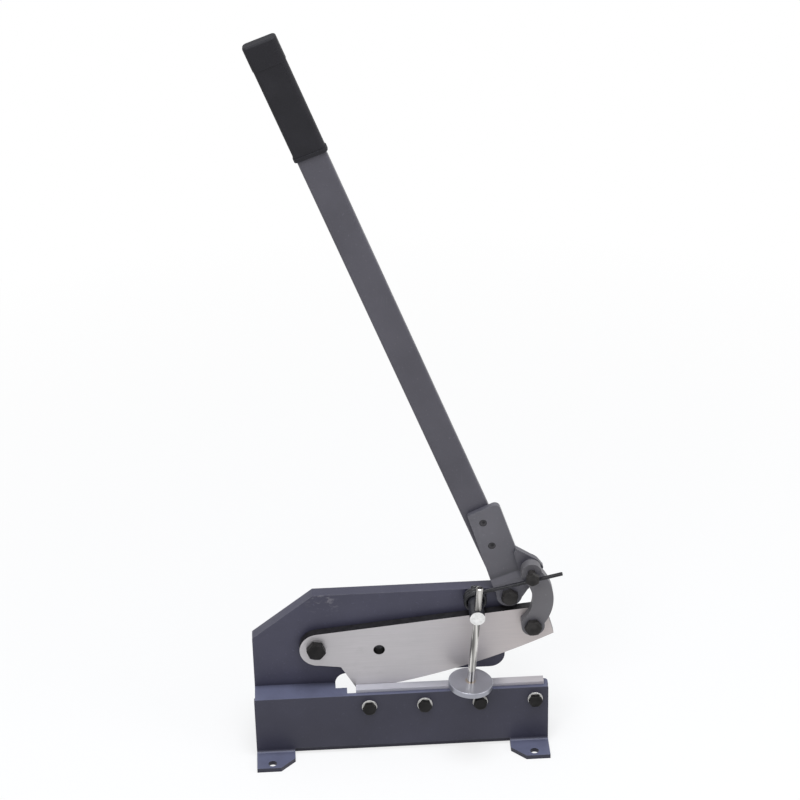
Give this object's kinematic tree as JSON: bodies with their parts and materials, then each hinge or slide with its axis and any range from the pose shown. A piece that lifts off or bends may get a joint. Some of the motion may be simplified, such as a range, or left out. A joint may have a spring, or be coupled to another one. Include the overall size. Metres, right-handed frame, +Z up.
{
  "type": "hand lever shear",
  "caption": "Bench-mounted hand lever shear with a long raised lever, curved upper blade, link plate, return spring and a screw hold-down for sheet and bar.",
  "frame": {"origin": "centre of the four bench bolt holes, on the bench surface", "axes": "+X along the blades towards the lever pivot, +Y to the back of the machine, +Z up"},
  "size_m": [0.3267, 0.11, 0.8171],
  "materials": {
    "frame_paint": "satin",
    "lever_paint": "satin",
    "blade_steel": "ground",
    "link_steel": "satin",
    "black_steel": "black oxide",
    "bright_zinc": "bright zinc plate",
    "grip_rubber": "matt"
  },
  "bodies": {
    "frame": {"frame_plate": "frame_paint", "front_plate": "frame_paint", "rear_plate": "frame_paint", "spacer_block": "frame_paint", "lower_blade": "blade_steel", "blade_bolt_1": "black_steel", "blade_bolt_2": "black_steel", "blade_bolt_3": "black_steel", "blade_bolt_4": "black_steel", "blade_bolt_washers": "bright_zinc", "blade_pivot_bolt": "black_steel", "blade_pivot_nut": "black_steel", "lever_pivot_bolt": "black_steel", "lever_pivot_nut": "black_steel", "hold_down_post": "black_steel"},
    "lever": {"front_cheek": "lever_paint", "rear_cheek": "lever_paint", "handle_tube": "lever_paint", "handle_grip": "grip_rubber", "lever_rivet_1": "black_steel", "lever_rivet_2": "black_steel", "upper_link_bolt": "black_steel", "upper_link_nut": "black_steel", "link_spacers": "bright_zinc"},
    "blade": {"upper_blade": "blade_steel"},
    "link": {"front_link": "link_steel", "lower_link_bolt": "black_steel", "lower_link_nut": "black_steel"},
    "spring": {"return_spring": "black_steel"},
    "hold_down": {"hold_down_screw": "bright_zinc", "hold_down_foot": "blade_steel"}
  },
  "joints": [
    {"name": "lever_pivot", "type": "hinge", "parent": "frame", "child": "lever", "pos_m": [0.1165, 0, 0.1805], "axis": [0, 1, 0], "range_deg": [0, 76], "stiffness_Nm_per_rad": 3, "springref_deg": -20.05},
    {"name": "blade_pivot", "type": "hinge", "parent": "frame", "child": "blade", "pos_m": [-0.0885, 0, 0.1265], "axis": [0, 1, 0], "range_deg": [0, 11.8]},
    {"name": "link_pivot", "type": "hinge", "parent": "lever", "child": "link", "pos_m": [0.1383, 0, 0.2175], "axis": [0, 1, 0], "range_deg": [-54.8, 0]},
    {"name": "spring_turn", "type": "hinge", "parent": "frame", "child": "spring", "pos_m": [0.08, 0, 0.1802], "axis": [0, 1, 0], "range_deg": [0, 39.6]},
    {"name": "hold_down_slide", "type": "slide", "parent": "frame", "child": "hold_down", "axis": [0.0863, 0, 0.9963], "range_m": [-0.0085, 0.06]}
  ],
  "couplings": [
    {"joint": "blade_pivot", "follows": "lever_pivot", "ratio": 0.154},
    {"joint": "link_pivot", "follows": "lever_pivot", "ratio": -0.72},
    {"joint": "spring_turn", "follows": "lever_pivot", "ratio": 0.52}
  ]
}
